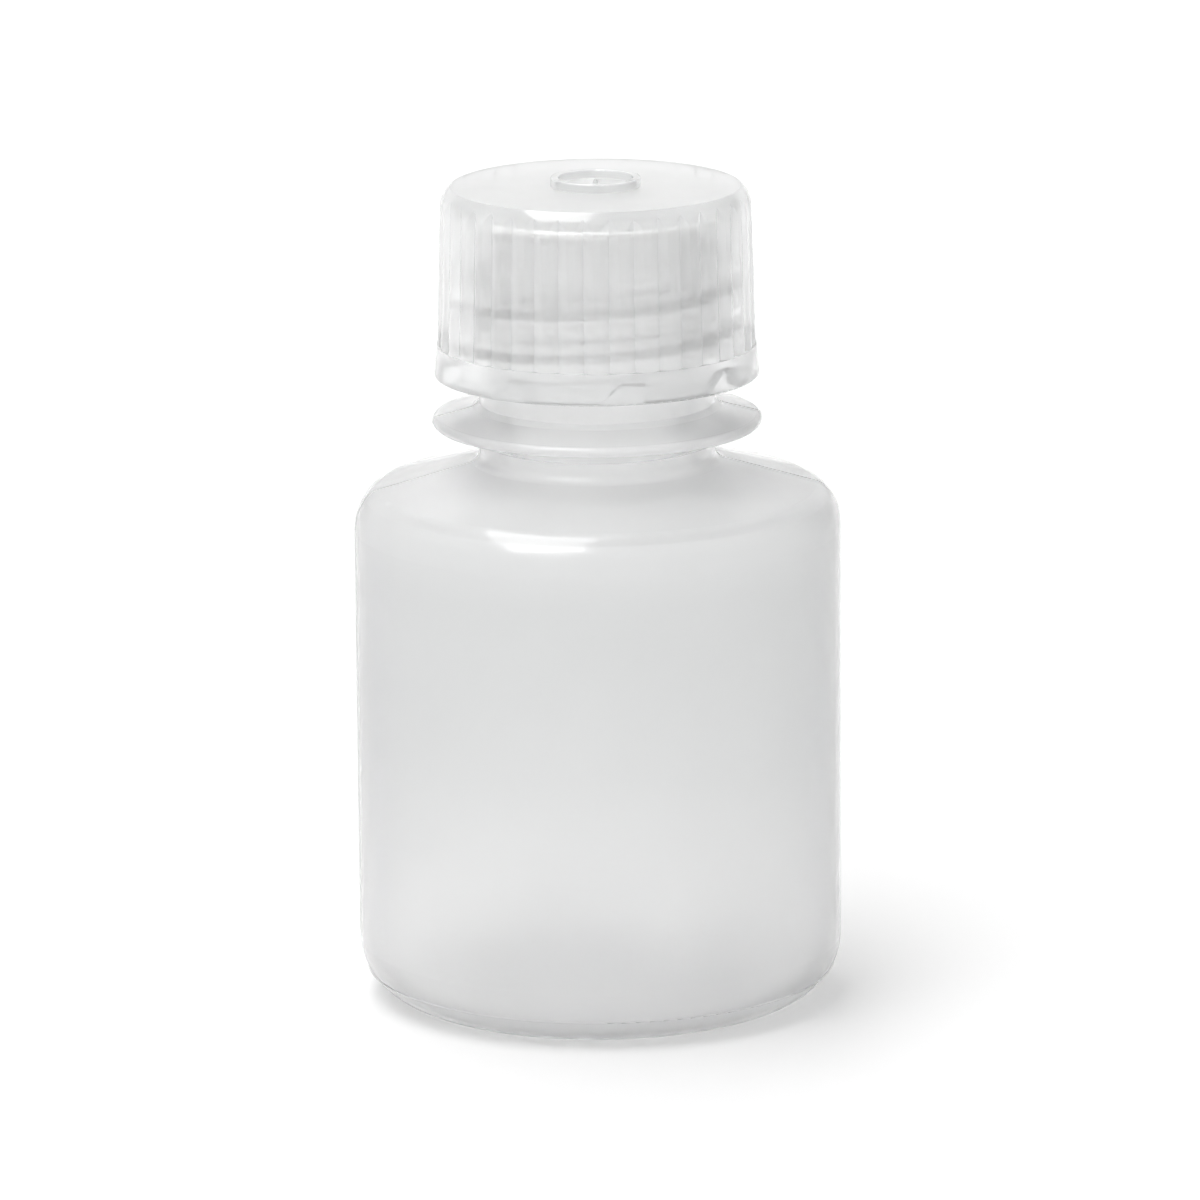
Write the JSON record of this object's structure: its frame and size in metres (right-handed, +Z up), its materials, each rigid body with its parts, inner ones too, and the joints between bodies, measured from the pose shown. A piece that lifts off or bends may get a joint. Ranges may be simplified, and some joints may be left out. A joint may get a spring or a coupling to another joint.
{
  "type": "reagent bottle",
  "caption": "Small narrow-mouth translucent plastic reagent bottle with a flanged threaded neck and a ribbed screw cap that unscrews along its thread.",
  "frame": {"origin": "middle of the bottle's base, on the plane that it stands on", "axes": "+Z up along the bottle's axis; the pictured front faces -Y, with +X to its right"},
  "size_m": [0.0358, 0.0356, 0.0613],
  "materials": {
    "bottle_plastic": "natural translucent high-density polyethylene, satin gloss",
    "cap_plastic": "natural translucent polypropylene, glossy",
    "liner_foam": "white foamed polyethylene, matt"
  },
  "bodies": {
    "bottle_body": {"bottle": "bottle_plastic"},
    "liner_body": {"seal_liner": "liner_foam"},
    "cap_body": {"cap": "cap_plastic"}
  },
  "joints": [
    {"name": "cap_rise", "type": "slide", "parent": "bottle_body", "child": "liner_body", "axis": [0, 0, 1], "range_m": [0, 0.00953]},
    {"name": "cap_turn", "type": "hinge", "parent": "liner_body", "child": "cap_body", "pos_m": [0, 0, 0.0535], "axis": [0, 0, 1], "range_deg": [0, 1080]}
  ],
  "couplings": [
    {"joint": "cap_rise", "follows": "cap_turn", "m_per_rad": 0.00050532}
  ]
}
